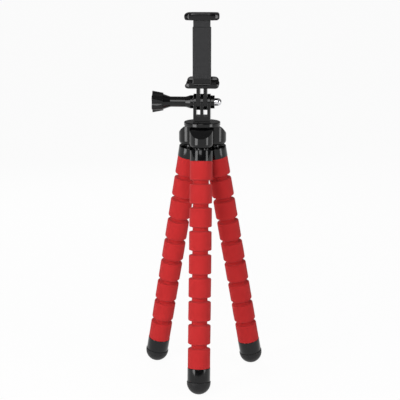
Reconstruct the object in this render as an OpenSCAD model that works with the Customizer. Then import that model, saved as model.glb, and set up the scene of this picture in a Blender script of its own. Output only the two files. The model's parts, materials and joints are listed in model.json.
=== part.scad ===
/* [Legs] */
// Splay of each leg from the vertical, in degrees
leg_splay = 11; // [6:0.1:16]
// Distance from the hub's axis to the root pivot of each leg
leg_spread = 12.4; // [11.8:0.1:14]
// Diameter of the foam sleeve
foam_d = 20; // [17:0.1:20.4]
// Width of a groove in the foam sleeve
groove_w = 3.8; // [3.4:0.1:5]
// Diameter of the foam at the bottom of a groove
neck_d = 14; // [12:0.1:15]
// Distance from one groove to the next
segment_pitch = 20.8; // [19:0.05:24]
// Foam from the top collar to the middle of the first groove
first_segment_l = 18.5; // [16:0.1:26]
// Foam from the middle of the last groove to the foot collar
last_segment_l = 19.3; // [16:0.1:26]
// Rounding of the foam's edges beside a groove
foam_edge_r = 0.8; // [0.3:0.1:1.4]
// Diameter of the bendable wire inside a leg
armature_d = 3.2; // [2.4:0.1:4]

/* [Collars and feet] */
// Diameter of the top collar of a leg
collar_d = 20.4; // [19.6:0.1:20.8]
// Height of the top collar
collar_h = 9.6; // [8:0.1:14]
// Bevel at the top edge of the collar
collar_bevel = 0.7; // [0.3:0.1:1.2]
// Drop from the root pivot to the top face of the collar
collar_drop = 0.9; // [0.6:0.1:1.5]
// Diameter of the ball on top of the collar
root_ball_d = 12; // [11:0.1:12.4]
// Diameter of the foam spigot inside the collar
foam_spigot_d = 15.4; // [13:0.1:16.5]
// Depth of the foam spigot inside the collar
foam_spigot_l = 4; // [2:0.1:5]
// Diameter of the foot collar
foot_collar_d = 20.4; // [18:0.1:21]
// Height of the foot collar
foot_collar_h = 12.1; // [9:0.1:16]
// Diameter of the foot collar's peg inside the foam
foot_peg_d = 9; // [7:0.1:11]
// Length of the foot collar's peg
foot_peg_l = 5; // [3:0.1:7]
// Diameter of the rubber foot
foot_d = 21.2; // [19:0.1:24]
// Height of the rubber foot's lip above its dome
foot_lip_h = 1.3; // [0.8:0.1:2.5]
// Diameter of the rubber foot's plug
foot_plug_d = 12; // [9:0.1:14]
// Length of the rubber foot's plug
foot_plug_l = 5; // [3:0.1:5.4]
// Depth of the flat that the foot stands on
foot_flat = 0.25; // [0.15:0.05:0.6]

/* [Hub] */
// Diameter of each lobe of the hub
hub_lobe_d = 21; // [19:0.1:21.2]
// Height of the hub
hub_h = 16.8; // [16:0.1:22]
// Gap from the root pivots up to the underside of the hub
hub_gap = 1.8; // [1.5:0.1:2.4]
// Height of the hub's lower half, up to the parting line
hub_base_h = 3.3; // [2.6:0.1:4]
// Width of the rounding round the underside of each lobe
hub_bevel_w = 2.9; // [2:0.1:3.4]
// Radius of the rounded shoulder of the hub's top
hub_dome_r = 8; // [6:0.1:12.5]
// Slope of the hub's top below the shoulder, in degrees
hub_dome_slope = 55; // [50:1:65]
// Diameter of the flat inside the shoulder
hub_top_d = 26; // [22:0.1:27]
// Wall of the hub's upper half
hub_wall = 2.2; // [1.6:0.1:2.6]
// Thickness of the hub's top
hub_top_t = 3; // [2.4:0.1:3.6]
// Diameter of the hub's middle between the lobes
hub_core_d = 19; // [17:0.1:20]
// Height of the lower half's sockets inside the upper half
socket_h = 7; // [6.4:0.1:8]
// Diameter of the ferrule that holds each wire
ferrule_d = 7; // [5.6:0.1:8]
// Height of the ferrule
ferrule_h = 4; // [2.5:0.1:5]

/* [Camera stud] */
// Diameter of the camera stud, a quarter-inch thread
stud_d = 6.35; // [6:0.05:6.8]
// Reach of the stud above the hub
stud_reach = 5.6; // [4.5:0.1:6]
// Width across flats of the stud's head
stud_head_af = 11.1; // [10:0.1:12]
// Thickness of the stud's head
stud_head_h = 3.5; // [2.8:0.1:4.4]
// Depth that the stud's head is sunk in the hub's top
stud_head_sink = 1.2; // [0.8:0.1:1.6]
// Diameter of the screw that closes the hub
hub_screw_d = 4; // [3:0.1:4.2]
// Diameter of the screw's head
hub_screw_head_d = 7.4; // [6:0.1:8]
// Height of the screw's head
hub_screw_head_h = 2.4; // [2:0.1:2.8]
// Width across corners of the screw's hexagonal recess
hub_screw_key_d = 2.8; // [2:0.1:3.2]
// Length of the screw's thread in the stud
hub_screw_bite = 5.5; // [4:0.1:6.5]

/* [Head adapter] */
// Diameter of the friction pad
pad_d = 24; // [18:0.1:24.6]
// Thickness of the friction pad
pad_t = 0.6; // [0.4:0.1:1.2]
// Diameter of the adapter's disc
disc_d = 32.4; // [28:0.1:34]
// Thickness of the adapter's disc
disc_h = 3.6; // [3:0.1:5]
// Rounding of the disc's rim
disc_edge_r = 0.8; // [0.3:0.1:1.2]
// Outer diameter of the threaded insert
insert_d = 9; // [8.2:0.1:10.5]
// Height of the threaded insert
insert_h = 6; // [5:0.1:7]
// Height of the solid block under the prongs
block_h = 5.2; // [4.8:0.1:6]
// Thickness of each outer and middle prong
prong_t = 2.8; // [2.4:0.1:3.2]
// Space between the prongs
prong_gap = 3.4; // [3:0.1:4]
// Radius of the round end of the prongs
prong_r = 7.2; // [6.4:0.1:7.5]
// Height of the tilt axis above the disc
tilt_axis_h = 17.4; // [16.6:0.1:20]
// Diameter of the clamping bolt
bolt_d = 5; // [4:0.1:5.4]
// Width across flats of the dome nut
nut_af = 8; // [7.4:0.1:8.6]
// Diameter of the boss round the dome nut
nut_boss_d = 11.6; // [11:0.1:13]
// Length of the boss round the dome nut
nut_boss_l = 3.5; // [3:0.1:5]
// Diameter of the nut's dome
nut_dome_d = 6.8; // [6.4:0.1:7.3]
// Length of the nut's dome
nut_dome_l = 6.1; // [5:0.1:8]

/* [Thumbscrew] */
// Diameter of the flange that bears on the prong
knob_flange_d = 11.8; // [9:0.1:13]
// Length of the flange
knob_flange_l = 2.4; // [1.6:0.1:3.5]
// Length of the taper from the flange to the stem
knob_taper_l = 4.4; // [3:0.1:6]
// Diameter of the stem
knob_stem_d = 9.2; // [7.4:0.1:10]
// Length of the stem
knob_stem_l = 13.6; // [10:0.1:18]
// Length of the cone from the stem to the head
knob_cone_l = 6.2; // [4:0.1:8]
// Diameter of the cone where it meets the head
knob_cone_d = 13.4; // [10:0.1:14.6]
// Diameter of the head beside the cone
knob_head_root_d = 15.7; // [13.4:0.1:17]
// Diameter of the head's outer end
knob_head_d = 19.2; // [16:0.1:21]
// Length of the head
knob_head_l = 9.7; // [8:0.1:13]
// Number of finger scallops round the head
knob_scallops = 6; // [5:1:7]
// Radius of a finger scallop
knob_scallop_r = 5; // [4:0.1:5.6]
// Depth of a scallop beside the cone
knob_scallop_bite = 0.2; // [0.1:0.1:0.6]

/* [Phone clamp] */
// Thickness of each tongue of the clamp
tongue_t = 3.2; // [2.6:0.1:3.3]
// Height from the tilt axis to the underside of the lower jaw
tongue_h = 12.7; // [12:0.1:16]
// Width of the jaws
jaw_w = 30.8; // [27:0.1:36]
// Width of the jaws at the tip of their lips
jaw_tip_w = 29.4; // [26:0.1:30.6]
// Reach of the jaws in front of the tilt axis
jaw_front = 9.2; // [9:0.1:11]
// Reach of the jaws behind the tilt axis
jaw_back = 14.4; // [13:0.1:18]
// Thickness of the jaws' floors
jaw_floor_t = 3; // [2.4:0.1:3.8]
// Height of the lower jaw's front rim
jaw_rim_h = 4.2; // [3.9:0.1:5]
// Height of the lower jaw's lip
jaw_lip_h = 8.4; // [7:0.1:10]
// Thickness of the lips at their tips
jaw_lip_t = 2.2; // [1.6:0.1:2.8]
// Thickness of the lips at the jaws' floors
jaw_lip_root_t = 3.3; // [2.9:0.1:4]
// Rounding of the jaws' front corners, seen from above
jaw_corner_r = 3.5; // [2:0.1:5]
// Rounding of the jaws' bent sides, seen from above
jaw_side_r = 4; // [2:0.1:6]
// Rounding of the jaws' back corners, seen from above
jaw_tip_r = 2.5; // [1:0.1:4]
// Rounding of the jaws' outer edges, seen from the side
jaw_heel_r = 2.4; // [1:0.1:2.8]
// Rounding of the jaws' corners, seen from the front
jaw_cheek_r = 2.8; // [1.5:0.1:3.4]
// Rounding of the jaws' rims and lips
jaw_edge_r = 0.7; // [0.3:0.1:0.8]
// Height of the upper jaw's front and of its lip
upper_jaw_h = 6.2; // [5.8:0.1:9]
// Thickness of the jaws' rubber pads
jaw_pad_t = 1.2; // [0.8:0.1:1.6]
// Width of the column
column_w = 16; // [15:0.1:18]
// Depth of the column
column_t = 6.5; // [6.2:0.1:7.4]
// Set-back of the column from the jaws' front
column_setback = 1.6; // [1:0.1:2]
// Length of the column from the lower jaw's underside to its open top
column_l = 53; // [52:0.1:60]
// Wall of the column
column_wall = 1.2; // [1:0.1:1.5]
// Rounding of the column's front edges
column_edge_r = 0.8; // [0.3:0.1:1]
// Height of the column's solid foot above the lower jaw's underside
column_foot_h = 10.5; // [9.5:0.1:12]
// Length of the slider between the column and the upper jaw
shoulder_l = 5.8; // [4:0.1:8]
// Width of the slider between the column and the upper jaw
shoulder_w = 14.7; // [13.6:0.1:15]
// Gap under the stem when the jaws are closed
stem_gap = 2.5; // [1:0.1:6]
// Thickness of the pad that the phone leans on
rest_pad_t = 1; // [0.6:0.1:1.4]
// Height of the lower spring pin above the lower jaw's underside
lower_pin_h = 8.6; // [8.4:0.1:9.4]
// Drop from the column's top to the upper spring pin
upper_pin_drop = 7.5; // [5:0.1:10]
// Height of the cover's screws above the lower jaw's underside
cover_screw_h = 6.6; // [6.4:0.1:6.8]
// Diameter of the cover's screws
cover_screw_d = 1.8; // [1.4:0.1:2]
// Diameter of the heads of the cover's screws
cover_screw_head_d = 3.2; // [2.6:0.1:3.6]
// Diameter of the pins that hold the spring
spring_pin_d = 1.2; // [1:0.1:1.4]
// Outer diameter of the spring
spring_d = 3.1; // [2.6:0.1:3.2]
// Diameter of the spring's wire
spring_wire_d = 0.5; // [0.4:0.05:0.6]
// Number of curls in the spring
spring_curls = 12; // [8:1:14]

/* [Hidden] */
$fn = 64;
ARC_STEPS = 5;
DOME_STEPS = 8;
// Clearance of a running shaft in its hole, at the radius
run_clearance = 0.08;
// Clearance of a fixed piece in its seat
seat_clearance = 0.05;
// Clearance of the balls in their sockets and of the loose wires in the foam
ball_clearance = 0.25;
// Clearance of the slider in the column
slide_clearance = 0.15;
// Overlap that lets a cut pass through a face
cut = 1;

LEGS = ["front", "left", "right"];
LEG_ANGLES = [-90, 150, 30];
SEGMENTS = 9;
LEG_NODES = [for (leg = LEGS) each concat(
    [str(leg, "_leg_collar"), str(leg, "_leg_armature")],
    [for (i = [1 : SEGMENTS]) str(leg, "_leg_foam_", i)],
    [str(leg, "_foot_collar"), str(leg, "_foot_pad")])];
HEAD_NODES = [
    "hub_shell", "hub_base", "hub_screw", "camera_stud", "friction_pad", "armature_ferrules",
    "mount_adapter", "thread_insert", "dome_nut", "thumbscrew_knob", "thumbscrew_bolt",
    "clamp_body", "column_cover", "cover_screws", "rest_pad", "lower_jaw_pad",
    "upper_jaw", "upper_jaw_pad", "lower_spring_pin", "upper_spring_pin", "jaw_spring"];

BLACK = "#17171a";
SATIN = "#2b2b2e";
RUBBER = "#1d1d1f";
RED = "#c9302f";
STEEL = "#b9bcc2";
BRASS = "#b08d4a";

// Distances down a leg, from its root pivot
foam_top = collar_drop + collar_h;
first_groove = foam_top + first_segment_l;
last_groove = first_groove + (SEGMENTS - 2) * segment_pitch;
foam_end = last_groove + last_segment_l;
foot_collar_end = foam_end + foot_collar_h;
dome_centre = foot_collar_end + foot_lip_h;
function groove_at(i) = first_groove + (i - 1) * segment_pitch;

// Heights above the floor
root_z = dome_centre * cos(leg_splay) + foot_d / 2 - foot_flat;
hub_z = root_z + hub_gap;
hub_top_z = hub_z + hub_h;
stud_head_z = hub_top_z - hub_top_t + stud_head_sink - stud_head_h;
disc_z = hub_top_z + pad_t + seat_clearance;
disc_top_z = disc_z + disc_h;
tilt_z = disc_top_z + tilt_axis_h;
jaw_z = tilt_z + tongue_h;
column_top_z = jaw_z + column_l;
upper_jaw_z = column_top_z + seat_clearance + shoulder_l;
upper_jaw_top_z = upper_jaw_z + upper_jaw_h;
upper_floor_z = upper_jaw_top_z - jaw_floor_t;
column_foot_z = jaw_z + column_foot_h;
lower_pin_z = jaw_z + lower_pin_h;
cover_screw_z = jaw_z + cover_screw_h;
stem_end_z = column_foot_z + stem_gap;
upper_pin_z = column_top_z - upper_pin_drop;

// The hub's axis stands behind the middle of the footprint, because one leg points forward
foot_reach = leg_spread + dome_centre * sin(leg_splay);
hub_y = foot_reach / 4;

// Widths and depths of the phone clamp, from the tilt axis
prongs_w = 3 * prong_t + 2 * prong_gap;
tongue_x = prong_t / 2 + prong_gap / 2;
column_front_y = -jaw_front + column_setback;
column_back_y = column_front_y + column_t;
cavity_front_y = column_front_y + column_wall;
cavity_back_y = column_back_y - column_wall;
cavity_w = column_w - 2 * column_wall;
stem_w = cavity_w - 2 * slide_clearance;
stem_t = cavity_back_y - cavity_front_y - 2 * slide_clearance;
stem_y = (cavity_front_y + cavity_back_y) / 2;
spring_slot_w = spring_d + 4 * slide_clearance;
pad_back_y = jaw_back - jaw_lip_root_t - jaw_edge_r - slide_clearance;
cover_screw_x = cavity_w / 3;
phone_y = column_back_y + rest_pad_t;

function unit(v) = v / norm(v);
function xy(p) = [p[0], p[1]];

// Points of the arc that rounds corner p, between its neighbours a and b, at radius r
function corner_arc(a, p, b, r) =
    let (u = unit(a - p), v = unit(b - p), half = acos(u * v) / 2,
        centre = p + unit(u + v) * r / sin(half),
        from = p + u * r / tan(half) - centre, to = p + v * r / tan(half) - centre,
        start = atan2(from[1], from[0]),
        turn = (atan2(to[1], to[0]) - start + 540) % 360 - 180)
    [for (i = [0 : ARC_STEPS])
        centre + r * [cos(start + turn * i / ARC_STEPS), sin(start + turn * i / ARC_STEPS)]];

// Outline whose corners are given as [x, y, rounding]
function rounded(corners) =
    let (n = len(corners))
    [for (i = [0 : n - 1]) each
        (corners[i][2] > 0
            ? corner_arc(xy(corners[(i + n - 1) % n]), xy(corners[i]),
                xy(corners[(i + 1) % n]), corners[i][2])
            : [xy(corners[i])])];

// Places its children in a leg's own frame: root pivot at the origin, leg down -Z, +X outwards
module on_leg(angle) {
    translate([0, hub_y, root_z])
        rotate([0, 0, angle])
            translate([leg_spread, 0, 0])
                rotate([0, -leg_splay, 0])
                    children();
}

// Places its children upright at each leg's root, from a height above the floor
module at_roots(z) {
    for (angle = LEG_ANGLES)
        translate([0, hub_y, z])
            rotate([0, 0, angle])
                translate([leg_spread, 0, 0])
                    children();
}

// A round bar or hole along the tilt axis, between two distances to the right of the middle
module across(d, from, to, sides = 64) {
    translate([from, hub_y, tilt_z])
        rotate([0, 90, 0])
            cylinder(d = d, h = to - from, $fn = sides);
}

// An upright block from its lowest to its highest corner, with y from the tilt axis
module block(low, high) {
    translate([low[0], low[1] + hub_y, low[2]])
        cube(high - low);
}

// Foam between two distances down the leg, turned about the leg, with its outer edges rounded
module foam_barrel(top, end, top_r, end_r) {
    rotate_extrude()
        polygon(rounded([[0, -end, 0], [foam_d / 2, -end, end_r],
            [foam_d / 2, -top, top_r], [0, -top, 0]]));
}

// Length i of the foam sleeve, with its neck ball above and the socket for the next one below
module foam_segment(i) {
    top = i == 1 ? foam_top : groove_at(i - 1) + groove_w / 2;
    end = i == SEGMENTS ? foam_end : groove_at(i) - groove_w / 2;
    difference() {
        union() {
            foam_barrel(top, end, i == 1 ? 0 : foam_edge_r, i == SEGMENTS ? 0 : foam_edge_r);
            if (i == 1)
                translate([0, 0, -foam_top])
                    cylinder(d = foam_spigot_d, h = foam_spigot_l);
            else
                translate([0, 0, -groove_at(i - 1)])
                    sphere(d = neck_d);
        }
        if (i < SEGMENTS)
            translate([0, 0, -groove_at(i)])
                sphere(d = neck_d + 2 * ball_clearance);
        else
            translate([0, 0, -foam_end - cut])
                cylinder(d = foot_peg_d + 2 * seat_clearance, h = foot_peg_l + cut + seat_clearance);
        translate([0, 0, -end - cut])
            cylinder(d = armature_d + 2 * ball_clearance, h = end - top + neck_d + 2 * cut);
    }
}

// Bendable wire from its ferrule in the hub down to the foot collar
module armature() {
    wire_end = foam_end + foot_peg_l / 2;
    translate([0, 0, -wire_end])
        cylinder(d = armature_d, h = wire_end);
    sphere(d = armature_d + 2 * seat_clearance);
    rotate([0, leg_splay, 0])
        cylinder(d = armature_d, h = hub_gap + socket_h + ferrule_h);
}

// Collar at the top of a leg, with the ball that tilts in the hub
module leg_collar() {
    bore_r = armature_d / 2 + ball_clearance;
    flare_h = root_ball_d / 2 + collar_drop;
    difference() {
        union() {
            rotate_extrude()
                polygon([[0, -foam_top], [collar_d / 2, -foam_top],
                    [collar_d / 2, -collar_drop - collar_bevel],
                    [collar_d / 2 - collar_bevel, -collar_drop], [0, -collar_drop]]);
            sphere(d = root_ball_d);
        }
        translate([0, 0, -foam_top - cut])
            cylinder(d = foam_spigot_d + 2 * seat_clearance, h = foam_spigot_l + seat_clearance + cut);
        translate([0, 0, -foam_top])
            cylinder(r = bore_r, h = foam_top + root_ball_d);
        translate([0, 0, -collar_drop])
            cylinder(r1 = bore_r, r2 = bore_r + flare_h * tan(2 * leg_splay), h = flare_h);
    }
}

// Collar above the foot, with the peg that holds the end of the foam and of the wire
module foot_collar() {
    difference() {
        union() {
            translate([0, 0, -foot_collar_end])
                cylinder(d = foot_collar_d, h = foot_collar_h);
            translate([0, 0, -foam_end - cut])
                cylinder(d = foot_peg_d, h = foot_peg_l + cut);
        }
        translate([0, 0, -foam_end - foot_peg_l / 2 - seat_clearance])
            cylinder(d = armature_d + 2 * ball_clearance, h = foot_peg_l * 2);
        translate([0, 0, -foot_collar_end - cut])
            cylinder(d = foot_plug_d + 2 * seat_clearance, h = foot_plug_l + seat_clearance + cut);
    }
}

// Domed rubber foot, cut flat where it stands, on the leg at this angle
module foot_pad(angle) {
    color(RUBBER)
        difference() {
            on_leg(angle) {
                translate([0, 0, -dome_centre])
                    intersection() {
                        sphere(d = foot_d);
                        translate([0, 0, -foot_d])
                            cylinder(d = 2 * foot_d, h = foot_d);
                    }
                translate([0, 0, -dome_centre])
                    cylinder(d = foot_d, h = foot_lip_h);
                translate([0, 0, -foot_collar_end - cut])
                    cylinder(d = foot_plug_d, h = foot_plug_l + cut);
            }
            translate([-foot_reach * 2, -foot_reach * 2, -foot_d])
                cube([foot_reach * 4, foot_reach * 4, foot_d]);
        }
}

// Three lobes and the middle that joins them, from height z, with lobes and middle drawn in
module trefoil(z, h, inset) {
    at_roots(z)
        cylinder(d = hub_lobe_d - 2 * inset, h = h);
    translate([0, hub_y, z])
        cylinder(d = hub_core_d - 2 * inset, h = h);
}

// Cone with a rounded shoulder that the hub's lobes are cut to, drawn in by an inset
module hub_dome(inset) {
    shoulder_r = hub_dome_r - inset;
    top = hub_h - inset;
    shoulder = [for (i = [0 : DOME_STEPS]) let (turn = hub_dome_slope * i / DOME_STEPS)
        [hub_top_d / 2 + shoulder_r * sin(turn), top - shoulder_r * (1 - cos(turn))]];
    edge = shoulder[DOME_STEPS];
    rim = [edge[0] + (edge[1] + cut) / tan(hub_dome_slope), -cut];
    translate([0, hub_y, hub_z])
        rotate_extrude()
            polygon(concat([[0, -cut], [0, top]], shoulder, [rim]));
}

// Upper half of the hub: three lobes under one dome, hollow
module hub_shell() {
    parting_z = hub_z + hub_base_h;
    ceiling_z = hub_top_z - hub_top_t;
    color(BLACK)
        difference() {
            intersection() {
                trefoil(parting_z, hub_top_z - parting_z, 0);
                hub_dome(0);
            }
            intersection() {
                trefoil(parting_z - cut, ceiling_z - parting_z + cut, hub_wall);
                hub_dome(hub_wall);
            }
            translate([0, hub_y, ceiling_z - cut])
                cylinder(d = stud_head_af / cos(30) + 2 * seat_clearance, h = stud_head_sink + cut, $fn = 6);
            translate([0, hub_y, ceiling_z])
                cylinder(d = stud_d + 2 * seat_clearance, h = hub_top_t + cut);
        }
}

// Bottom of one lobe, with its lower edge rounded
module lobe_bottom() {
    edge = [for (i = [0 : ARC_STEPS]) let (turn = 90 * i / ARC_STEPS)
        [hub_lobe_d / 2 - hub_bevel_w * (1 - sin(turn)), hub_base_h * (1 - cos(turn))]];
    rotate_extrude()
        polygon(concat([[0, 0]], edge, [[0, hub_base_h]]));
}

// Lower half of the hub: rounded lobes with the sockets for the legs
module hub_base() {
    color(BLACK)
        difference() {
            union() {
                at_roots(hub_z)
                    lobe_bottom();
                translate([0, hub_y, hub_z])
                    cylinder(d = hub_core_d, h = hub_base_h - ball_clearance);
                trefoil(hub_z + hub_base_h - cut, socket_h - hub_base_h + cut, hub_wall + ball_clearance);
                translate([0, hub_y, hub_z])
                    cylinder(d = hub_screw_head_d + hub_wall, h = stud_head_z - hub_z);
            }
            at_roots(root_z)
                sphere(d = root_ball_d + 2 * ball_clearance);
            at_roots(root_z)
                cylinder(d = armature_d + 2 * seat_clearance, h = hub_gap + socket_h + cut);
            translate([0, hub_y, hub_z - cut])
                cylinder(d = hub_screw_head_d + 2 * seat_clearance, h = hub_screw_head_h + cut);
            translate([0, hub_y, hub_z])
                cylinder(d = hub_screw_d + 2 * seat_clearance, h = hub_h);
        }
}

// Screw from below that draws the two halves of the hub together
module hub_screw() {
    color(STEEL)
        translate([0, hub_y, hub_z])
            difference() {
                union() {
                    cylinder(d = hub_screw_head_d, h = hub_screw_head_h);
                    cylinder(d = hub_screw_d, h = stud_head_z - hub_z + hub_screw_bite);
                }
                translate([0, 0, -cut])
                    cylinder(d = hub_screw_key_d, h = cut + hub_screw_head_h / 2, $fn = 6);
            }
}

// Camera stud with its sunk head, tapped from below for the hub screw
module camera_stud() {
    color(STEEL)
        translate([0, hub_y, 0])
            difference() {
                union() {
                    translate([0, 0, stud_head_z])
                        cylinder(d = stud_head_af / cos(30), h = stud_head_h, $fn = 6);
                    translate([0, 0, stud_head_z])
                        cylinder(d = stud_d, h = hub_top_z + stud_reach - stud_head_z);
                }
                translate([0, 0, stud_head_z - cut])
                    cylinder(d = hub_screw_d + 2 * seat_clearance, h = hub_screw_bite + 2 * cut);
            }
}

// Rubber ring between the hub and the adapter
module friction_pad() {
    color(RUBBER)
        translate([0, hub_y, hub_top_z])
            difference() {
                cylinder(d = pad_d, h = pad_t);
                translate([0, 0, -cut])
                    cylinder(d = insert_d, h = pad_t + 2 * cut);
            }
}

// Ferrules that hold the wires in the hub
module armature_ferrules() {
    color(STEEL)
        at_roots(hub_z + socket_h)
            difference() {
                cylinder(d = ferrule_d, h = ferrule_h);
                translate([0, 0, -cut])
                    cylinder(d = armature_d + 2 * seat_clearance, h = ferrule_h + 2 * cut);
            }
}

// One upright prong of the adapter, at a distance to the right of the middle
module prong(x) {
    block([x - prong_t / 2, -prong_r, disc_top_z - disc_edge_r], [x + prong_t / 2, prong_r, tilt_z]);
    across(2 * prong_r, x - prong_t / 2, x + prong_t / 2);
}

// Adapter that screws on the stud: disc, three prongs and the boss for the dome nut
module mount_adapter() {
    color(BLACK)
        difference() {
            union() {
                translate([0, hub_y, disc_z])
                    rotate_extrude()
                        polygon(rounded([[0, 0, 0], [disc_d / 2, 0, disc_edge_r],
                            [disc_d / 2, disc_h, disc_edge_r], [0, disc_h, 0]]));
                block([-prongs_w / 2, -prong_r, disc_top_z - disc_edge_r],
                    [prongs_w / 2, prong_r, disc_top_z + block_h]);
                for (side = [-1 : 1])
                    prong(side * (prong_t + prong_gap));
                across(nut_boss_d, prongs_w / 2 - prong_t / 2, prongs_w / 2 + nut_boss_l);
            }
            across(bolt_d + 2 * run_clearance, -prongs_w, prongs_w);
            across((nut_af + 2 * seat_clearance) / cos(30), prongs_w / 2, prongs_w, 6);
            translate([0, hub_y, disc_z - cut])
                cylinder(d = insert_d + 2 * seat_clearance, h = insert_h + seat_clearance + cut);
        }
}

// Brass insert that turns on the stud
module thread_insert() {
    color(BRASS)
        translate([0, hub_y, disc_z])
            difference() {
                cylinder(d = insert_d, h = insert_h);
                translate([0, 0, -cut])
                    cylinder(d = stud_d + 2 * run_clearance, h = insert_h + 2 * cut);
            }
}

// Dome nut held in the adapter's boss
module dome_nut() {
    boss_x = prongs_w / 2 + nut_boss_l;
    dome_x = boss_x + nut_dome_l - nut_dome_d / 2;
    color(STEEL)
        difference() {
            union() {
                across(nut_af / cos(30), prongs_w / 2 + seat_clearance, boss_x, 6);
                across(nut_dome_d, boss_x - cut, dome_x);
                translate([dome_x, hub_y, tilt_z])
                    sphere(d = nut_dome_d);
            }
            across(bolt_d + 2 * run_clearance, 0, dome_x);
        }
}

// Distances out along the thumbscrew, from the middle of the prongs
flange_x = prongs_w / 2 + ball_clearance;
taper_x = flange_x + knob_flange_l;
stem_x = taper_x + knob_taper_l;
cone_x = stem_x + knob_stem_l;
head_x = cone_x + knob_cone_l;
head_end_x = head_x + knob_head_l;
bolt_end_x = cone_x + knob_cone_l / 2;
scallop_x = knob_head_root_d / 2 + knob_scallop_r - knob_scallop_bite;

// Moulded knob: flange, waisted stem and a flared head with finger scallops
module thumbscrew_knob() {
    color(BLACK)
        translate([0, hub_y, tilt_z])
            rotate([0, -90, 0])
                difference() {
                    rotate_extrude()
                        polygon([[0, flange_x], [knob_flange_d / 2, flange_x],
                            [knob_flange_d / 2, taper_x], [knob_stem_d / 2, stem_x],
                            [knob_stem_d / 2, cone_x], [knob_cone_d / 2, head_x],
                            [knob_head_root_d / 2, head_x], [knob_head_d / 2, head_end_x],
                            [0, head_end_x]]);
                    for (i = [0 : knob_scallops - 1])
                        rotate([0, 0, 90 + i * 360 / knob_scallops])
                            translate([scallop_x, 0, head_x - cut])
                                cylinder(r = knob_scallop_r, h = knob_head_l + 2 * cut);
                    translate([0, 0, flange_x - cut])
                        cylinder(d = bolt_d + 2 * seat_clearance,
                            h = bolt_end_x - flange_x + seat_clearance + cut);
                }
}

// Steel bolt moulded into the knob
module thumbscrew_bolt() {
    color(STEEL)
        across(bolt_d, -bolt_end_x, prongs_w / 2 + nut_boss_l + nut_dome_l - nut_dome_d);
}

// Outline of both jaws from above: square in front, drawn in towards the lips
module jaw_plan() {
    polygon(rounded([[-jaw_w / 2, -jaw_front, jaw_corner_r], [jaw_w / 2, -jaw_front, jaw_corner_r],
        [jaw_w / 2, 0, jaw_side_r], [jaw_tip_w / 2, jaw_back, jaw_tip_r],
        [-jaw_tip_w / 2, jaw_back, jaw_tip_r], [-jaw_w / 2, 0, jaw_side_r]]));
}

// A jaw from its side outline, given as y from the tilt axis and height above z
module jaw(z, h, side) {
    translate([0, hub_y, z])
        intersection() {
            linear_extrude(h)
                jaw_plan();
            rotate([90, 0, 90])
                linear_extrude(2 * jaw_w, center = true)
                    polygon(rounded(side));
            rotate([90, 0, 0])
                linear_extrude(2 * jaw_w, center = true)
                    polygon(rounded([for (corner = [[-1, 0], [1, 0], [1, 1], [-1, 1]])
                        [corner[0] * jaw_w / 2, corner[1] * h, jaw_cheek_r]]));
        }
}

// Side outline of the lower jaw: rim in front, floor, lip turned up at the back
lower_jaw_side = [
    [-jaw_front, 0, jaw_edge_r], [-jaw_front, jaw_rim_h, jaw_edge_r],
    [column_front_y, jaw_rim_h, 0], [column_front_y, jaw_floor_t, 0],
    [jaw_back - jaw_lip_root_t, jaw_floor_t, jaw_edge_r],
    [jaw_back - jaw_lip_t, jaw_lip_h, jaw_edge_r],
    [jaw_back, jaw_lip_h, jaw_edge_r], [jaw_back, 0, jaw_heel_r]];

// Side outline of the upper jaw: deep front, floor overhead, lip turned down at the back
upper_jaw_side = [
    [-jaw_front, 0, jaw_heel_r], [-jaw_front, upper_jaw_h, jaw_edge_r],
    [jaw_back, upper_jaw_h, jaw_heel_r], [jaw_back, 0, jaw_edge_r],
    [jaw_back - jaw_lip_t, 0, jaw_edge_r],
    [jaw_back - jaw_lip_root_t, upper_jaw_h - jaw_floor_t, jaw_edge_r],
    [column_back_y, upper_jaw_h - jaw_floor_t, 0], [column_back_y, 0, 0]];

// One tongue of the clamp, at a distance to the right of the middle
module tongue(x) {
    block([x - tongue_t / 2, -prong_r, tilt_z], [x + tongue_t / 2, prong_r, jaw_z + jaw_floor_t / 2]);
    across(2 * prong_r, x - tongue_t / 2, x + tongue_t / 2);
}

// Fixed half of the phone clamp: tongues, lower jaw and the column that guides the slider
module clamp_body() {
    open_y = column_back_y + cut;
    color(SATIN)
        difference() {
            union() {
                jaw(jaw_z, jaw_lip_h, lower_jaw_side);
                for (side = [-1, 1])
                    tongue(side * tongue_x);
                translate([0, hub_y, jaw_z + jaw_floor_t / 2])
                    linear_extrude(column_l - jaw_floor_t / 2)
                        polygon(rounded([[-column_w / 2, column_front_y, column_edge_r],
                            [column_w / 2, column_front_y, column_edge_r],
                            [column_w / 2, column_back_y, 0], [-column_w / 2, column_back_y, 0]]));
            }
            across(bolt_d + 2 * run_clearance, -prongs_w, prongs_w);
            block([-cavity_w / 2, cavity_front_y, column_foot_z],
                [cavity_w / 2, open_y, column_top_z + cut]);
            block([-cavity_w / 2, cavity_back_y, jaw_z + jaw_rim_h],
                [cavity_w / 2, open_y, column_top_z + cut]);
            block([-spring_slot_w / 2, cavity_front_y, jaw_z + jaw_rim_h],
                [spring_slot_w / 2, open_y, column_top_z + cut]);
            translate([-cavity_w / 2, hub_y + stem_y, lower_pin_z])
                rotate([0, 90, 0])
                    cylinder(d = spring_pin_d + 2 * seat_clearance, h = cavity_w);
            for (side = [-1, 1])
                translate([side * cover_screw_x, hub_y + cavity_front_y, cover_screw_z])
                    rotate([-90, 0, 0])
                        cylinder(d = cover_screw_d + 2 * seat_clearance, h = column_t);
        }
}

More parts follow.
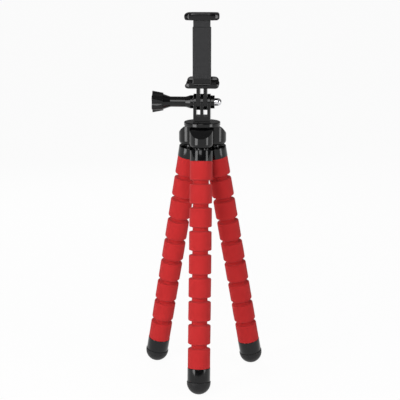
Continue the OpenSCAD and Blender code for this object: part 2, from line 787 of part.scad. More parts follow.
// Cover that closes the column on the phone's side
module column_cover() {
    half_w = cavity_w / 2 - seat_clearance;
    color(SATIN)
        difference() {
            block([-half_w, cavity_back_y, jaw_z + jaw_rim_h + seat_clearance],
                [half_w, column_back_y, column_top_z]);
            for (side = [-1, 1])
                translate([side * cover_screw_x, hub_y + stem_y, cover_screw_z])
                    rotate([-90, 0, 0]) {
                        cylinder(d = cover_screw_d + 2 * seat_clearance, h = column_t);
                        translate([0, 0, column_back_y - stem_y - column_wall / 2])
                            cylinder(d = cover_screw_head_d + 2 * seat_clearance, h = column_wall);
                    }
        }
}

// Two small screws that hold the cover on the column's foot
module cover_screws() {
    color(STEEL)
        for (side = [-1, 1])
            translate([side * cover_screw_x, hub_y + column_back_y, cover_screw_z])
                rotate([90, 0, 0]) {
                    cylinder(d = cover_screw_head_d, h = column_wall / 2);
                    cylinder(d = cover_screw_d, h = column_t - 2 * column_wall);
                }
}

// Rubber strip that the back of the phone leans on
module rest_pad() {
    color(RUBBER)
        block([-cavity_w / 2 + column_wall, column_back_y, column_foot_z],
            [cavity_w / 2 - column_wall, phone_y, column_top_z - column_wall]);
}

// Rubber pad on a jaw's floor, from height z
module jaw_pad(z) {
    color(RUBBER)
        translate([0, hub_y, z])
            linear_extrude(jaw_pad_t)
                polygon(rounded([for (corner = [[-1, column_back_y + seat_clearance],
                    [1, column_back_y + seat_clearance], [1, pad_back_y], [-1, pad_back_y]])
                    [corner[0] * (jaw_tip_w / 2 - jaw_cheek_r), corner[1], jaw_pad_t]]));
}

// Sliding half of the phone clamp: upper jaw, shoulder and the stem inside the column
module upper_jaw() {
    shoulder_in = slide_clearance * 2;
    color(SATIN)
        difference() {
            union() {
                jaw(upper_jaw_z, upper_jaw_h, upper_jaw_side);
                block([-shoulder_w / 2, column_front_y + shoulder_in, column_top_z + seat_clearance],
                    [shoulder_w / 2, column_back_y - shoulder_in, upper_jaw_z + upper_jaw_h / 2]);
                block([-stem_w / 2, stem_y - stem_t / 2, stem_end_z],
                    [stem_w / 2, stem_y + stem_t / 2, upper_jaw_z]);
            }
            block([-spring_slot_w / 2, stem_y - stem_t, stem_end_z - cut],
                [spring_slot_w / 2, stem_y + stem_t, upper_pin_z + spring_pin_d]);
            translate([-stem_w / 2 - cut, hub_y + stem_y, upper_pin_z])
                rotate([0, 90, 0])
                    cylinder(d = spring_pin_d + 2 * seat_clearance, h = stem_w + 2 * cut);
        }
}

// Pin that holds the spring's lower end in the column
module lower_spring_pin() {
    color(STEEL)
        translate([-cavity_w / 2, hub_y + stem_y, lower_pin_z])
            rotate([0, 90, 0])
                cylinder(d = spring_pin_d, h = cavity_w);
}

// Pin that holds the spring's upper end in the stem
module upper_spring_pin() {
    color(STEEL)
        translate([-stem_w / 2, hub_y + stem_y, upper_pin_z])
            rotate([0, 90, 0])
                cylinder(d = spring_pin_d, h = stem_w);
}

// Points along the spring, from pin to pin: a straight end, the curls, a straight end
SPRING_RINGS = 8;
SPRING_SIDES = 6;
spring_r = (spring_d - spring_wire_d) / 2;
spring_from_z = lower_pin_z + spring_pin_d / 2 + seat_clearance;
spring_to_z = upper_pin_z - spring_pin_d / 2 - seat_clearance;
spring_pitch = (spring_to_z - spring_from_z - 2 * spring_wire_d) / spring_curls;
spring_steps = spring_curls * SPRING_RINGS;
spring_path = concat(
    [[spring_r, 0, spring_from_z]],
    [for (i = [0 : spring_steps])
        [spring_r * cos(360 * i / SPRING_RINGS), spring_r * sin(360 * i / SPRING_RINGS),
            spring_from_z + spring_wire_d + spring_pitch * i / SPRING_RINGS]],
    [[spring_r, 0, spring_to_z]]);
echo(least_spring_gap = min([for (i = [0 : spring_steps - SPRING_RINGS])
    norm(spring_path[i + 1] - spring_path[i + 1 + SPRING_RINGS])]) - spring_wire_d);

// One ring of points round the spring's wire, square to the way it runs
function spring_ring(i) =
    let (n = len(spring_path), p = spring_path[i],
        along = unit(spring_path[min(i + 1, n - 1)] - spring_path[max(i - 1, 0)]),
        out = unit([p[0], p[1], 0]), side = unit(cross(along, out)), up = cross(side, along))
    [for (k = [0 : SPRING_SIDES - 1])
        p + spring_wire_d / 2 * (cos(360 * k / SPRING_SIDES) * up + sin(360 * k / SPRING_SIDES) * side)];

// Coil spring that draws the upper jaw down
module jaw_spring() {
    n = len(spring_path);
    s = SPRING_SIDES;
    sides = [for (i = [0 : n - 2], k = [0 : s - 1]) each
        let (a = i * s + k, b = i * s + (k + 1) % s)
        [[a, a + s, b], [b, a + s, b + s]]];
    ends = [for (k = [1 : s - 2]) each
        [[0, k, k + 1], [(n - 1) * s, (n - 1) * s + k + 1, (n - 1) * s + k]]];
    color(STEEL)
        translate([0, hub_y + stem_y, 0])
            polyhedron([for (i = [0 : n - 1]) each spring_ring(i)], concat(sides, ends));
}

for (i = [0 : len(LEGS) - 1]) {
    leg = LEGS[i];
    angle = LEG_ANGLES[i];
    color(BLACK) on_leg(angle) leg_collar();
    color(STEEL) on_leg(angle) armature();
    for (k = [1 : SEGMENTS])
        color(RED) on_leg(angle) foam_segment(k);
    color(BLACK) on_leg(angle) foot_collar();
    foot_pad(angle);
}
hub_shell();
hub_base();
hub_screw();
camera_stud();
friction_pad();
armature_ferrules();
mount_adapter();
thread_insert();
dome_nut();
thumbscrew_knob();
thumbscrew_bolt();
clamp_body();
column_cover();
cover_screws();
rest_pad();
jaw_pad(jaw_z + jaw_floor_t);  // lower_jaw_pad
upper_jaw();
jaw_pad(upper_floor_z - jaw_pad_t);  // upper_jaw_pad
lower_spring_pin();
upper_spring_pin();
jaw_spring();
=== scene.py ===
"""A small tripod with bendable foam legs and a sprung phone clamp, dressed round its CAD frame."""

import json
import logging
import math
from dataclasses import dataclass, field
from enum import Enum
from typing import Any, Callable, Optional, Sequence, Union

import bmesh
import bpy
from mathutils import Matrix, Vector, noise


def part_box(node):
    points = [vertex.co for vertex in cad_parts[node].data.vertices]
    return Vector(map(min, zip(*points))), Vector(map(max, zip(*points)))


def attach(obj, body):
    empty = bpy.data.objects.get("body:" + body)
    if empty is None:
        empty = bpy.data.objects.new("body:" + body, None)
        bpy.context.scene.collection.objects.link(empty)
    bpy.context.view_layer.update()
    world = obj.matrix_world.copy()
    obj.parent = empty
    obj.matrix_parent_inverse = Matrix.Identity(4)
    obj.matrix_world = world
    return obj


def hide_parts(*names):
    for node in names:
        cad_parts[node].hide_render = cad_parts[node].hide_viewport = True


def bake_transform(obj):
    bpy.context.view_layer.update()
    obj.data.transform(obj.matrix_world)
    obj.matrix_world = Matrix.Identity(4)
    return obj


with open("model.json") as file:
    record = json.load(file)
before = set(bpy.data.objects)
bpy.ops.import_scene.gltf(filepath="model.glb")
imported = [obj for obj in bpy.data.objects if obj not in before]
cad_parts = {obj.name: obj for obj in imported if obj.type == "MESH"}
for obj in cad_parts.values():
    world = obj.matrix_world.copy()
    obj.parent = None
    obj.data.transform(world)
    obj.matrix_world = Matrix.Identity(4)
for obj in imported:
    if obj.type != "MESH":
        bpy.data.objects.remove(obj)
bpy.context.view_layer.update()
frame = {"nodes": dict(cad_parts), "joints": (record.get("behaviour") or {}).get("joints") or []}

LOG = logging.getLogger("tripod")
MM = 0.001
TURN = 2 * math.pi
RIGHT, BACK, UP = Vector((1, 0, 0)), Vector((0, 1, 0)), Vector((0, 0, 1))

# Faces round a turned piece, and steps along a rounding
SIDES = 72
NECK_SIDES = 64
ARC_STEPS = 5

# Least radius of a ring in millimetres, and least turn of a corner that can be rounded in radians
TIP = 1e-6
STRAIGHT = 1e-4

# Angles in degrees from which edges look sharp
CREASE = 38.0
PAD_CREASE = 45.0
FOAM_CREASE = 50.0
BEND_CREASE = 60.0

# Castings: width of a weld in millimetres, flat angle in degrees, and steps across an eased edge
WELD = 0.002
FLAT_ANGLE = 0.8
EASE_STEPS = 3

JOINTS: dict[str, dict[str, Any]] = {joint["name"]: joint for joint in frame["joints"]}

Colour = tuple[float, float, float, float]
Outline = Sequence[tuple[float, float]]
Corner = tuple[float, float, float]
Cut = tuple[Vector, Vector]


class Side(Enum):
    """Which of the three legs a piece belongs to."""

    FRONT = "front"
    LEFT = "left"
    RIGHT = "right"


def srgb(red: int, green: int, blue: int) -> Colour:
    """Linear colour of a screen colour.

    Args:
        red: Red from 0 to 255.
        green: Green from 0 to 255.
        blue: Blue from 0 to 255.

    Returns:
        The linear colour with full alpha.
    """
    def linear(level: int) -> float:
        """Linear value of one screen level."""
        share = level / 255
        return share / 12.92 if share <= 0.04045 else ((share + 0.055) / 1.055) ** 2.4

    return linear(red), linear(green), linear(blue), 1.0


class Signal:
    """A shader socket; its operators add Math nodes."""

    def __init__(self, paint: "Paint", socket: bpy.types.NodeSocket) -> None:
        """Wraps one output socket of a paint's node tree."""
        self.paint = paint
        self.socket = socket

    def _math(self, operation: str, first: "Input", second: "Input") -> "Signal":
        """Adds one Math node on two values."""
        return self.paint.node("ShaderNodeMath", {"operation": operation}, {0: first, 1: second})

    def __add__(self, other: "Input") -> "Signal":
        """Sum of two values."""
        return self._math("ADD", self, other)

    def __radd__(self, other: "Input") -> "Signal":
        """Sum with the number first."""
        return self._math("ADD", other, self)

    def __sub__(self, other: "Input") -> "Signal":
        """Difference of two values."""
        return self._math("SUBTRACT", self, other)

    def __rsub__(self, other: "Input") -> "Signal":
        """Difference with the number first."""
        return self._math("SUBTRACT", other, self)

    def __mul__(self, other: "Input") -> "Signal":
        """Product of two values."""
        return self._math("MULTIPLY", self, other)

    def __rmul__(self, other: "Input") -> "Signal":
        """Product with the number first."""
        return self._math("MULTIPLY", other, self)


Input = Union[Signal, float, Sequence[float]]


class Paint:
    """The node tree of one material or world."""

    def __init__(self, tree: bpy.types.NodeTree) -> None:
        """Takes over a node tree.

        Args:
            tree: The tree that the nodes go into.
        """
        self.tree = tree

    def feed(self, socket: bpy.types.NodeSocket, value: Input) -> None:
        """Links a signal to a socket, or sets the socket's own value.

        Args:
            socket: The input socket.
            value: The signal or the value.
        """
        if isinstance(value, Signal):
            self.tree.links.new(value.socket, socket)
        else:
            socket.default_value = value

    def node(
        self,
        kind: str,
        settings: Optional[dict[str, Any]] = None,
        sockets: Optional[dict[Union[int, str], Input]] = None,
        output: Union[int, str] = 0,
    ) -> Signal:
        """Adds any node.

        Args:
            kind: Blender's name of the node type.
            settings: The node's own settings.
            sockets: Values or signals of its inputs, by name or number.
            output: The output that the caller goes on with.

        Returns:
            The chosen output.
        """
        made = self.tree.nodes.new(kind)
        for key, value in (settings or {}).items():
            setattr(made, key, value)
        for key, value in (sockets or {}).items():
            self.feed(made.inputs[key], value)
        return Signal(self, made.outputs[output])

    def mix(self, share: Input, first: Input, second: Input) -> Signal:
        """Mixes two colours.

        Args:
            share: Share of the second colour.
            first: The colour at share 0.
            second: The colour at share 1.

        Returns:
            The mixed colour.
        """
        # The Mix node's colours are its inputs 6 and 7 and its output 2
        return self.node("ShaderNodeMix", {"data_type": "RGBA"}, {0: share, 6: first, 7: second}, 2)

    def grain(self, scale: float, detail: float = 2.0, stretch: Sequence[float] = (1, 1, 1)) -> Signal:
        """Noise that lies still on the piece.

        Args:
            scale: Lumps per metre.
            detail: How fine the smallest lumps are.
            stretch: Scale along each axis.

        Returns:
            The noise, from 0 to 1.
        """
        place = self.node("ShaderNodeTexCoord", output="Object")
        placed = self.node("ShaderNodeMapping", {}, {"Vector": place, "Scale": stretch})
        return self.node("ShaderNodeTexNoise", {}, {"Vector": placed, "Scale": scale, "Detail": detail})

    def cells(self, scale: float) -> Signal:
        """Distance from the middles of random cells, with this many cells per metre."""
        place = self.node("ShaderNodeTexCoord", output="Object")
        return self.node("ShaderNodeTexVoronoi", {}, {"Vector": place, "Scale": scale}, "Distance")

    def bump(self, height: Signal, strength: float, depth: float) -> Signal:
        """Normal of a surface that this height raises, by at most depth in millimetres."""
        values = {"Strength": strength, "Distance": depth * MM, "Height": height}
        return self.node("ShaderNodeBump", {}, values)


class Finish:
    """What a surface is made of; each kind of finish fills in its own nodes."""

    name: str

    def dress(self, paint: Paint) -> dict[str, Input]:
        """Adds the finish's nodes and returns what feeds the shader's sockets."""
        raise NotImplementedError

    def material(self) -> bpy.types.Material:
        """Makes the Blender material of this finish, or finds the one that is made.

        Returns:
            The material.
        """
        found = bpy.data.materials.get(self.name)
        if found is not None:
            return found
        made = bpy.data.materials.new(self.name)
        made.use_nodes = True
        paint = Paint(made.node_tree)
        shader = made.node_tree.nodes["Principled BSDF"]
        for socket, value in self.dress(paint).items():
            paint.feed(shader.inputs[socket], value)
        return made


@dataclass(frozen=True)
class FoamRubber(Finish):
    """Closed-cell foam rubber: matte, finely pored and faintly mottled."""

    name: str
    light: Colour
    deep: Colour

    def dress(self, paint: Paint) -> dict[str, Input]:
        """Pores, fuzz and mottling for colour, roughness and relief.

        Args:
            paint: The material's nodes.

        Returns:
            What feeds the shader's sockets.
        """
        pores = paint.cells(1500.0)
        fuzz = paint.grain(1100.0, 3.0)
        mottle = paint.grain(70.0, 3.0)
        return {
            "Base Color": paint.mix(mottle * 0.6 + fuzz * 0.4, self.deep, self.light),
            "Roughness": fuzz * 0.14 + 0.8,
            "Normal": paint.bump(pores * 0.6 + fuzz * 0.8, 0.5, 0.16),
            "Specular IOR Level": 0.22,
            "Sheen Weight": 0.08,
            "Sheen Roughness": 0.5,
        }


@dataclass(frozen=True)
class MouldedPlastic(Finish):
    """Moulded plastic, from piano gloss to a fine satin texture."""

    name: str
    colour: Colour
    pale: Colour
    roughness: float
    texture: float
    shine: float

    def dress(self, paint: Paint) -> dict[str, Input]:
        """Flow marks in the colour, handling haze in the gloss and a fine moulded relief.

        Args:
            paint: The material's nodes.

        Returns:
            What feeds the shader's sockets.
        """
        flow = paint.grain(90.0, 3.0)
        haze = paint.grain(260.0, 4.0)
        relief = paint.grain(2600.0, 2.0)
        return {
            "Base Color": paint.mix(flow * 0.7 + relief * 0.3, self.colour, self.pale),
            "Roughness": haze * 0.1 + relief * 0.04 + (self.roughness - 0.07),
            "Normal": paint.bump(relief * 0.7 + haze * 0.3, 0.35, self.texture),
            "Specular IOR Level": self.shine,
        }


@dataclass(frozen=True)
class SoftRubber(Finish):
    """Black rubber: a dull skin with dust in its pores."""

    name: str
    colour: Colour
    dust: Colour

    def dress(self, paint: Paint) -> dict[str, Input]:
        """Dust in the colour, uneven dullness and a grainy relief.

        Args:
            paint: The material's nodes.

        Returns:
            What feeds the shader's sockets.
        """
        skin = paint.grain(1400.0, 3.0)
        dusting = paint.grain(180.0, 4.0)
        return {
            "Base Color": paint.mix(dusting * 0.5 + skin * 0.3, self.colour, self.dust),
            "Roughness": skin * 0.16 + dusting * 0.1 + 0.34,
            "Normal": paint.bump(skin, 0.4, 0.08),
            "Specular IOR Level": 0.26,
        }


@dataclass(frozen=True)
class Metal(Finish):
    """Turned or drawn metal, with fine marks along one axis."""

    name: str
    colour: Colour
    shade: Colour
    roughness: float
    stretch: tuple[float, float, float] = (1.0, 1.0, 1.0)

    def dress(self, paint: Paint) -> dict[str, Input]:
        """Tool marks in the gloss and the relief, tarnish in the colour.

        Args:
            paint: The material's nodes.

        Returns:
            What feeds the shader's sockets.
        """
        marks = paint.grain(1300.0, 3.0, self.stretch)
        tarnish = paint.grain(240.0, 4.0)
        return {
            "Base Color": paint.mix(tarnish, self.shade, self.colour),
            "Roughness": marks * 0.14 + tarnish * 0.06 + (self.roughness - 0.1),
            "Normal": paint.bump(marks, 0.2, 0.03),
            "Metallic": 1.0,
        }


RED_FOAM = FoamRubber("red_foam_rubber", srgb(186, 39, 40), srgb(168, 28, 29))
# Darker red for the foam at the bottom of the grooves: painted shade, standing in for the shade that falls
# in the grooves
GROOVE_FOAM_PAINTED_SHADE = FoamRubber("red_foam_with_painted_groove_shade", srgb(186, 36, 37), srgb(164, 27, 28))
GLOSS_BLACK = MouldedPlastic(
    "gloss_black_plastic", srgb(4, 4, 5), srgb(8, 8, 9), roughness=0.12, texture=0.006, shine=0.34
)
SATIN_BLACK = MouldedPlastic(
    "satin_black_plastic", srgb(36, 36, 37), srgb(41, 41, 42), roughness=0.52, texture=0.05, shine=0.2
)
JAW_BLACK = MouldedPlastic(
    "jaw_black_plastic", srgb(5, 5, 6), srgb(9, 9, 10), roughness=0.13, texture=0.006, shine=0.36
)
FOOT_RUBBER = SoftRubber("black_foot_rubber", srgb(20, 20, 21), srgb(34, 34, 35))
PAD_RUBBER = SoftRubber("black_pad_rubber", srgb(20, 20, 21), srgb(34, 34, 35))
STEEL = Metal(
    "zinc_plated_steel", srgb(196, 198, 202), srgb(170, 172, 178), roughness=0.3, stretch=(6.0, 1.0, 1.0)
)
POLISHED_STEEL = Metal(
    "polished_steel", srgb(112, 112, 116), srgb(88, 88, 93), roughness=0.17, stretch=(6.0, 1.0, 1.0)
)
BRASS = Metal(
    "turned_brass", srgb(204, 164, 92), srgb(176, 136, 70), roughness=0.28, stretch=(1.0, 1.0, 6.0)
)
ALUMINIUM = Metal(
    "drawn_aluminium_wire", srgb(206, 207, 210), srgb(186, 187, 190), roughness=0.36, stretch=(1.0, 1.0, 0.2)
)


def corner_arc(before: Vector, corner: Vector, after: Vector, radius: float, steps: int) -> list[Vector]:
    """Points of the arc that rounds one corner of an outline.

    Args:
        before: The outline's point before the corner.
        corner: The corner.
        after: The outline's point after it.
        radius: Radius of the rounding.
        steps: Number of steps along the arc.

    Returns:
        The arc's points, from the side of before to the side of after.
    """
    back, on = (before - corner).normalized(), (after - corner).normalized()
    half = back.angle(on) / 2
    if half > math.pi / 2 - STRAIGHT:
        return [corner]
    centre = corner + (back + on).normalized() * (radius / math.sin(half))
    first = corner + back * (radius / math.tan(half)) - centre
    last = corner + on * (radius / math.tan(half)) - centre
    sweep = first.angle(last)
    turns = [sweep * i / steps for i in range(steps + 1)]
    return [centre + (first * math.sin(sweep - t) + last * math.sin(t)) / math.sin(sweep) for t in turns]


def rounded(
    corners: Sequence[Corner], steps: int = ARC_STEPS, closed: bool = False
) -> list[tuple[float, float]]:
    """An outline with its corners rounded.

    Args:
        corners: Points as (x, y, rounding).
        steps: Number of steps along each rounding.
        closed: Whether the last point joins the first.

    Returns:
        The outline's points.
    """
    points = [Vector(corner[:2]) for corner in corners]
    made: list[Vector] = []
    for i, (point, corner) in enumerate(zip(points, corners)):
        inner = closed or 0 < i < len(points) - 1
        if corner[2] > 0 and inner:
            made += corner_arc(points[i - 1], point, points[(i + 1) % len(points)], corner[2], steps)
        else:
            made.append(point)
    return [(point.x, point.y) for point in made]


@dataclass(frozen=True)
class Place:
    """A line that round pieces are turned about."""

    origin: Vector
    along: Vector
    out: Vector

    def point(self, radius: float, along: float, angle: float) -> Vector:
        """A point beside the line.

        Args:
            radius: Distance from the line in millimetres.
            along: Distance along the line in millimetres.
            angle: Angle round the line in radians.

        Returns:
            The point, in metres.
        """
        side = self.along.cross(self.out)
        spoke = self.out * math.cos(angle) + side * math.sin(angle)
        return self.origin + self.along * (along * MM) + spoke * (radius * MM)


class Mould:
    """Collects the faces of one piece, in metres, and makes the piece of them."""

    def __init__(self) -> None:
        """Starts with no faces, and with none of them taken from a CAD solid."""
        self.mesh = bmesh.new()
        self.cast = False

    def ring(self, points: Sequence[Vector]) -> list[bmesh.types.BMVert]:
        """Adds points and returns their vertices."""
        return [self.mesh.verts.new(point) for point in points]

    def bridge(self, first: list[bmesh.types.BMVert], second: list[bmesh.types.BMVert]) -> None:
        """Joins two rings by faces.

        Args:
            first: One ring; a ring of one vertex is a tip.
            second: The other ring, with as many vertices or one.
        """
        count = max(len(first), len(second))
        for i in range(count):
            k = (i + 1) % count
            corners = [ring[n % len(ring)] for ring, n in ((first, i), (first, k), (second, k), (second, i))]
            self.mesh.faces.new(list(dict.fromkeys(corners)))

    def lathe(self, place: Place, outline: Outline, sides: int = SIDES) -> "Mould":
        """Turns an outline of (radius, along) pairs about a line.

        Args:
            place: The line.
            outline: The outline, in millimetres; radius 0 makes a tip.
            sides: Number of faces round the line.

        Returns:
            The mould itself.
        """
        rings = []
        for radius, along in outline:
            angles = [0.0] if radius < TIP else [TURN * i / sides for i in range(sides)]
            rings.append(self.ring([place.point(radius, along, angle) for angle in angles]))
        for first, second in zip(rings, rings[1:]):
            self.bridge(first, second)
        return self

    def tube(self, path: Sequence[Vector], radius: float, sides: int = 12) -> "Mould":
        """Runs a round wire along a path.

        Args:
            path: The wire's middle line, in metres.
            radius: The wire's radius in millimetres.
            sides: Number of faces round the wire.

        Returns:
            The mould itself.
        """
        rings = [self.ring([path[0]])]
        spoke = (path[1] - path[0]).orthogonal().normalized()
        for i, point in enumerate(path):
            ahead = (path[min(i + 1, len(path) - 1)] - path[max(i - 1, 0)]).normalized()
            spoke = (spoke - ahead * spoke.dot(ahead)).normalized()
            place = Place(point, ahead, spoke)
            rings.append(self.ring([place.point(radius, 0, TURN * k / sides) for k in range(sides)]))
        rings.append(self.ring([path[-1]]))
        for first, second in zip(rings, rings[1:]):
            self.bridge(first, second)
        return self

    @staticmethod
    def _has_room(edge: bmesh.types.BMEdge, room: float) -> bool:
        """Whether an edge and all those that meet it are longer than a length in metres."""
        return all(near.calc_length() > room for corner in edge.verts for near in corner.link_edges)

    def casting(
        self,
        node: str,
        ease: float = 0.0,
        sharp: float = 26.0,
        cuts: Sequence[Cut] = (),
        roomy: bool = False,
    ) -> "Mould":
        """Takes a CAD solid's faces and eases its sharp edges, as a mould tool leaves them.

        Args:
            node: The CAD node.
            ease: Greatest width of the eased edges in millimetres; 0 leaves all of them sharp.
            sharp: Angle in degrees from which an edge counts as sharp.
            cuts: Planes, as a point and the way that is cut off.
            roomy: Whether edges beside short ones stay sharp, so that the others get their full width.

        Returns:
            The mould itself.
        """
        self.cast = True
        self.mesh.from_mesh(frame["nodes"][node].data)
        bmesh.ops.remove_doubles(self.mesh, verts=self.mesh.verts, dist=WELD * MM)
        bmesh.ops.dissolve_limit(
            self.mesh, angle_limit=math.radians(FLAT_ANGLE), verts=self.mesh.verts, edges=self.mesh.edges
        )
        edges = [
            edge for edge in self.mesh.edges
            if len(edge.link_faces) == 2 and edge.calc_face_angle() > math.radians(sharp)
        ]
        if roomy:
            edges = [edge for edge in edges if self._has_room(edge, 2 * ease * MM)]
        if ease > 0:
            bmesh.ops.bevel(
                self.mesh, geom=edges, offset=ease * MM, offset_type="OFFSET", segments=EASE_STEPS,
                profile=0.5, affect="EDGES", clamp_overlap=True, miter_outer="ARC"
            )
        for point, off in cuts:
            whole = [*self.mesh.verts, *self.mesh.edges, *self.mesh.faces]
            cut = bmesh.ops.bisect_plane(
                self.mesh, geom=whole, plane_co=point, plane_no=off, clear_outer=True
            )
            edges = [item for item in cut["geom_cut"] if isinstance(item, bmesh.types.BMEdge)]
            bmesh.ops.edgeloop_fill(self.mesh, edges=edges)
        return self

    def loft(self, rows: Sequence[Sequence[Vector]]) -> "Mould":
        """Joins rows of points into one closed skin.

        Args:
            rows: Loops with as many points each, from end to end.

        Returns:
            The mould itself.
        """
        rings = [self.ring(row) for row in rows]
        for first, second in zip(rings, rings[1:]):
            self.bridge(first, second)
        for ring in (rings[0], rings[-1]):
            self.mesh.faces.new(ring)
        return self

    def shift(self, move: Callable[[Vector], Vector]) -> "Mould":
        """Moves every point.

        Args:
            move: Gives a point's new place from its old one.

        Returns:
            The mould itself.
        """
        for vertex in self.mesh.verts:
            vertex.co = move(vertex.co)
        return self

    def piece(self, name: str, finish: Finish, crease: float = CREASE) -> bpy.types.Object:
        """Makes the piece.

        Args:
            name: The piece's name.
            finish: What its surface is made of.
            crease: Angle in degrees up to which faces are shaded as one.

        Returns:
            The new object.
        """
        bmesh.ops.recalc_face_normals(self.mesh, faces=self.mesh.faces)
        data = bpy.data.meshes.new(name)
        self.mesh.to_mesh(data)
        self.mesh.free()
        data.shade_smooth()
        data.set_sharp_from_angle(angle=math.radians(crease))
        data.materials.append(finish.material())
        made = bpy.data.objects.new(name, data)
        bpy.context.scene.collection.objects.link(made)
        if self.cast:
            made.modifiers.new("flat_faces", "WEIGHTED_NORMAL").keep_sharp = True
        return made


def fit(piece: bpy.types.Object, body: str, slot: str, *nodes: str) -> None:
    """Rides a piece on its body, in place of CAD nodes.

    Args:
        piece: The piece.
        body: The CAD body it moves with.
        slot: The record's material slot; not used.
        nodes: The CAD nodes it stands for.
    """
    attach(piece, body)
    if nodes:
        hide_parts(*nodes)
    LOG.info("%s rides on %s", piece.name, body)


def coat(finish: Finish, *nodes: str) -> None:
    """Gives CAD nodes that keep their own shape a finish.

    Args:
        finish: What their surface is made of.
        nodes: The CAD nodes.
    """
    for node in nodes:
        data = frame["nodes"][node].data
        data.materials.clear()
        data.materials.append(finish.material())
        LOG.info("%s keeps its CAD shape", node)


@dataclass
class Leg:
    """One foam leg on its wire, from the collar under the hub to the rubber foot; sizes in millimetres."""

    side: Side
    barrels: int = 9

    # Foam sleeve
    foam_radius: float = 10.0
    foam_edge_radius: float = 1.1
    groove_width: float = 3.8
    neck_radius: float = 7.0
    wall_radius: float = 7.5
    last_foam_length: float = 19.3

    # Top collar and ball
    collar_radius: float = 10.2
    collar_top: float = 0.9
    collar_end: float = 10.5
    collar_edge_radius: float = 0.6
    ball_radius: float = 6.0
    spigot_radius: float = 7.7

    # Foot
    foot_collar_radius: float = 10.2
    foot_collar_height: float = 12.1
    foot_radius: float = 10.6
    foot_lip_height: float = 1.3
    peg_radius: float = 4.5
    peg_length: float = 5.0

    # Wire
    wire_radius: float = 1.6
    wire_top: float = 12.8
    wire_steps: int = 16
    wire_top_steps: int = 6

    # Unevenness of the cut foam
    unevenness: float = 0.13
    lump_length: float = 9.0
    grain_length: float = 2.5
    grain_share: float = 0.3

    # Small roundings and steps of the meshes
    seam: float = 0.02
    wall_ease: float = 0.5
    wall_edge_radius: float = 0.4
    barrel_steps: int = 8
    neck_sink: float = 1.0
    neck_flare: float = 0.25
    neck_steps: int = 14
    bend_margin: float = 0.1
    ball_steps: int = 14
    collar_hollow: float = 0.7
    rim_radius: float = 0.3
    peg_edge_radius: float = 0.4
    shin_edge_radius: float = 0.45
    brim_steps: int = 4
    dome_steps: int = 18

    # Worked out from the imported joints
    root: Vector = field(init=False)
    grooves: list[float] = field(init=False)
    line: Place = field(init=False)
    foam_end: float = field(init=False)
    foot_collar_end: float = field(init=False)
    dome: float = field(init=False)

    def __post_init__(self) -> None:
        """Takes the leg's line and grooves from its packed joints."""
        name = self.side.value
        self.root = Vector(JOINTS[f"{name}_leg_splay"]["pos_m"])
        ends = [Vector(JOINTS[f"{name}_leg_bend_{i}"]["pos_m"]) for i in range(1, self.barrels)]
        self.grooves = [(end - self.root).length / MM for end in ends]
        down = (ends[-1] - self.root).normalized()
        hinge = Vector(JOINTS[f"{name}_leg_splay"]["axis"])
        self.line = Place(self.root, down, hinge.cross(down).normalized())
        self.foam_end = self.grooves[-1] + self.last_foam_length
        self.foot_collar_end = self.foam_end + self.foot_collar_height
        self.dome = self.foot_collar_end + self.foot_lip_height

    def body(self, link: int) -> str:
        """Name of the CAD body of one link, counted from the hub."""
        return f"{self.side.value}_leg_{link}"

    def at(self, along: float) -> Vector:
        """The point of the leg's line at a distance down from its root."""
        return self.line.point(0, along, 0)

    def _uneven(self, point: Vector) -> Vector:
        """Draws a foam point in or out a little, because foam is cut and not moulded.

        Args:
            point: The point on the even sleeve, in metres.

        Returns:
            The point on the uneven one.
        """
        spoke = point - self.at((point - self.root).dot(self.line.along) / MM)
        if spoke.length < self.neck_radius * MM / 2:
            return point
        lengths = (self.lump_length, self.grain_length)
        lump, grain = (noise.noise(point / (length * MM)) for length in lengths)
        swell = lump * (1 - self.grain_share) + grain * self.grain_share
        return point + spoke.normalized() * (swell * self.unevenness * MM)

    def barrel(self, link: int) -> None:
        """One length of the foam sleeve between two grooves.

        Args:
            link: The link it belongs to, counted from the hub.
        """
        half, ease, edge = self.groove_width / 2, self.wall_ease, self.wall_edge_radius
        first, last = link == 1, link == self.barrels
        top = self.collar_end + self.seam if first else self.grooves[link - 2] + half
        end = self.foam_end if last else self.grooves[link - 1] - half
        above: list[Corner] = [(0, top, 0), (self.foam_radius, top, 0)]
        if not first:
            above = [
                (0, top - ease, 0), (self.wall_radius, top - ease, ease),
                (self.wall_radius + ease, top, edge), (self.foam_radius, top, self.foam_edge_radius),
            ]
        below: list[Corner] = [(self.foam_radius, end, 0), (0, end, 0)]
        if not last:
            below = [
                (self.foam_radius, end, self.foam_edge_radius), (self.wall_radius + ease, end, edge),
                (self.wall_radius, end + ease, ease), (0, end + ease, 0),
            ]
        steps = self.barrel_steps
        middle = [(self.foam_radius, top + (end - top) * i / steps, 0.0) for i in range(2, steps - 1)]
        mould = Mould().lathe(self.line, rounded(above + middle + below)).shift(self._uneven)
        piece = mould.piece(f"{self.side.value}_foam_barrel_{link}", RED_FOAM, FOAM_CREASE)
        fit(piece, self.body(link), "red_foam", f"{self.side.value}_leg_foam_{link}")

    def neck(self, groove: int) -> None:
        """The foam at the bottom of a groove.

        Args:
            groove: The groove, counted from the hub.
        """
        middle = self.grooves[groove - 1]
        reach, steps = self.groove_width, self.neck_steps
        outline = [(0.0, middle - reach)]
        for i in range(steps + 1):
            along = -reach + 2 * reach * i / steps
            flare = self.neck_flare * min(1.0, abs(along) / reach) ** 2
            sunk = self.neck_sink if i in (0, steps) else 0
            outline.append((self.neck_radius + flare - sunk, middle + along))
        outline.append((0.0, middle + reach))
        mould = Mould().lathe(self.line, outline, NECK_SIDES)
        # The neck's darker red than the barrels is painted shade for the bottom of the groove
        piece = mould.piece(f"{self.side.value}_foam_neck_{groove}", GROOVE_FOAM_PAINTED_SHADE, BEND_CREASE)
        bend = self.groove_width / 2 - self.bend_margin
        self.at(middle - bend)
        self.at(middle + bend)
        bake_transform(piece)
        LOG.info("%s bends at groove %d", piece.name, groove)

